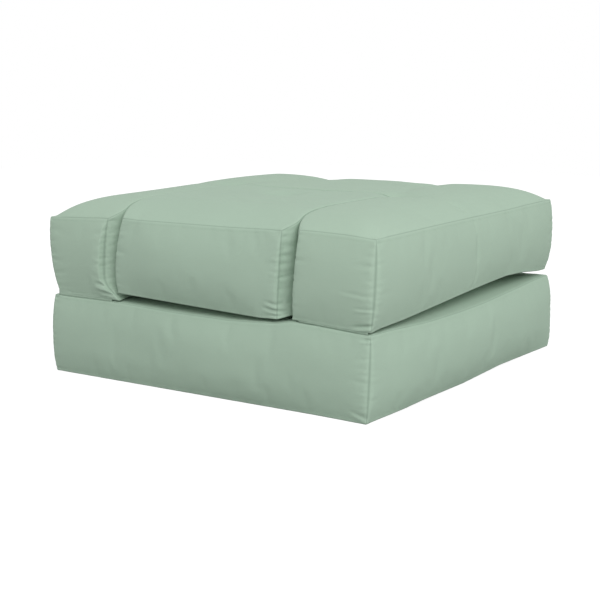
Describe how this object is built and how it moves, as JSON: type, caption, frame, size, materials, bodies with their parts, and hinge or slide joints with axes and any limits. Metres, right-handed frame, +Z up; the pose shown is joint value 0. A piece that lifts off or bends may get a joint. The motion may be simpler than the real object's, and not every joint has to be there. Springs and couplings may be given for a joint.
{
  "type": "chair bed",
  "caption": "Folding cushion cube of stuffed cotton: a pouf when closed, a chair when its middle block flips back, a bed when its upper layer folds forwards.",
  "frame": {"origin": "middle of the underside, on the floor, in the closed state", "axes": "+Z up; the slot with the back block opens towards -Y, the front; +X to the right seen from the front"},
  "size_m": [0.994, 0.994, 0.4653],
  "materials": {
    "cover_cloth": "matte",
    "hinge_cloth": "matte",
    "cotton_filling": "matte",
    "foam": "matte",
    "tie_cord": "matte"
  },
  "bodies": {
    "base": {"base_border_strip": "cover_cloth", "base_foam_core": "foam", "base_left_hinge_leaf": "hinge_cloth", "base_lower_cotton": "cotton_filling", "base_right_hinge_leaf": "hinge_cloth", "base_top_panel": "cover_cloth", "base_tuft_ties": "tie_cord", "base_underside_panel": "cover_cloth", "base_upper_cotton": "cotton_filling"},
    "upper_cushion": {"left_arm_foam_core": "foam", "left_arm_lower_cotton": "cotton_filling", "left_arm_upper_cotton": "cotton_filling", "rear_foam_core": "foam", "rear_hinge_leaf": "hinge_cloth", "rear_lower_cotton": "cotton_filling", "rear_tuft_ties": "tie_cord", "rear_upper_cotton": "cotton_filling", "right_arm_foam_core": "foam", "right_arm_lower_cotton": "cotton_filling", "right_arm_upper_cotton": "cotton_filling", "upper_border_strip": "cover_cloth", "upper_left_hinge_leaf": "hinge_cloth", "upper_right_hinge_leaf": "hinge_cloth", "upper_top_panel": "cover_cloth", "upper_underside_panel": "cover_cloth"},
    "back_block": {"back_block_border_strip": "cover_cloth", "back_block_foam_core": "foam", "back_block_hinge_leaf": "hinge_cloth", "back_block_lower_cotton": "cotton_filling", "back_block_top_panel": "cover_cloth", "back_block_tuft_tie": "tie_cord", "back_block_underside_panel": "cover_cloth", "back_block_upper_cotton": "cotton_filling"}
  },
  "joints": [
    {"name": "upper_fold", "type": "hinge", "parent": "base", "child": "upper_cushion", "pos_m": [0, -0.4973, 0.21515], "axis": [1, 0, 0], "range_deg": [0, 180]},
    {"name": "back_flip", "type": "hinge", "parent": "upper_cushion", "child": "back_block", "pos_m": [0, 0, 0.4656], "axis": [-1, 0, 0], "range_deg": [0, 180]}
  ]
}
